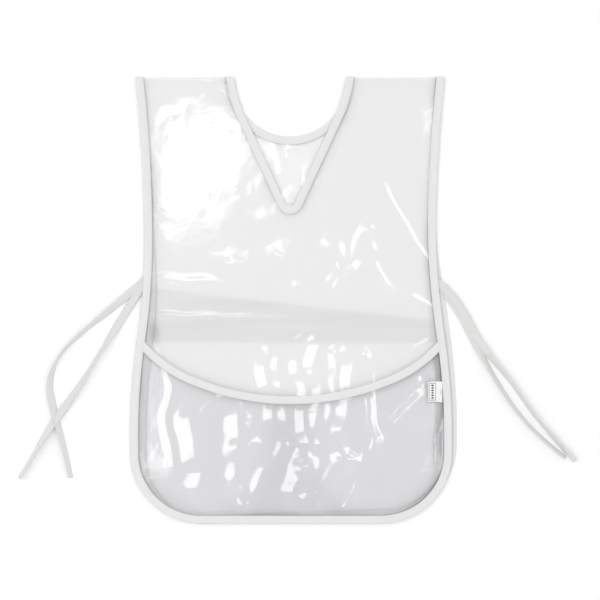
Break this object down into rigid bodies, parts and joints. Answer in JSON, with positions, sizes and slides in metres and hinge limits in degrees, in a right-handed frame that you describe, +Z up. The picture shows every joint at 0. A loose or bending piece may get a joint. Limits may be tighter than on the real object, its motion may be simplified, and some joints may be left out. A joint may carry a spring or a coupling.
{
  "type": "salon tabard",
  "caption": "Clear film pull-over salon tabard with V neck, rounded hem, full-width front pocket, white tape bindings and side tape ties, lying flat.",
  "frame": {"origin": "on the table, under the middle of the folded garment without its ties", "axes": "+Z up off the table, out of the garment's front; +Y towards the shoulders; +X to the right of the front as seen from above"},
  "size_m": [0.8796, 0.7, 0.0059],
  "materials": {
    "clear_film": "clear glossy vinyl film",
    "white_tape": "woven polyester binding tape, matt",
    "thread": "white sewing thread",
    "label_ribbon": "woven satin ribbon"
  },
  "bodies": {
    "back": {"back_panel": "clear_film", "back_edge_binding": "white_tape", "back_neck_binding": "white_tape", "back_edge_stitching": "thread", "back_neck_stitching": "thread"},
    "front": {"front_panel": "clear_film", "front_edge_binding": "white_tape", "front_neck_binding": "white_tape", "front_edge_stitching": "thread", "front_neck_stitching": "thread", "pocket_panel": "clear_film", "pocket_mouth_binding": "white_tape", "pocket_mouth_stitching": "thread", "shoulder_stitching_left": "thread", "shoulder_stitching_right": "thread"},
    "front_left_tie": {"tie_front_left": "white_tape", "bar_tack_front_left": "thread"},
    "front_right_tie": {"tie_front_right": "white_tape", "bar_tack_front_right": "thread"},
    "back_left_tie": {"tie_back_left": "white_tape", "bar_tack_back_left": "thread"},
    "back_right_tie": {"tie_back_right": "white_tape", "bar_tack_back_right": "thread"},
    "label": {"care_label": "label_ribbon"}
  },
  "joints": [
    {"name": "shoulder_fold", "type": "hinge", "parent": "back", "child": "front", "pos_m": [0, 0.3502, 0.0025], "axis": [-1, 0, 0], "range_deg": [0, 179.5]},
    {"name": "label_flip", "type": "hinge", "parent": "front", "child": "label", "pos_m": [0.234, -0.144, 0.00605], "axis": [0, 1, 0], "range_deg": [0, 150]},
    {"name": "front_left_tie_swing", "type": "hinge", "parent": "front", "child": "front_left_tie", "pos_m": [-0.22453, 0.034, 0.003], "axis": [0, 0, -1], "range_deg": [-12, 60]},
    {"name": "front_right_tie_swing", "type": "hinge", "parent": "front", "child": "front_right_tie", "pos_m": [0.22453, 0.034, 0.003], "axis": [0, 0, 1], "range_deg": [-12, 60]},
    {"name": "back_left_tie_swing", "type": "hinge", "parent": "back", "child": "back_left_tie", "pos_m": [-0.22453, 0.034, 0.0018], "axis": [0, 0, -1], "range_deg": [-12, 60]},
    {"name": "back_right_tie_swing", "type": "hinge", "parent": "back", "child": "back_right_tie", "pos_m": [0.22453, 0.034, 0.0018], "axis": [0, 0, 1], "range_deg": [-12, 60]}
  ]
}
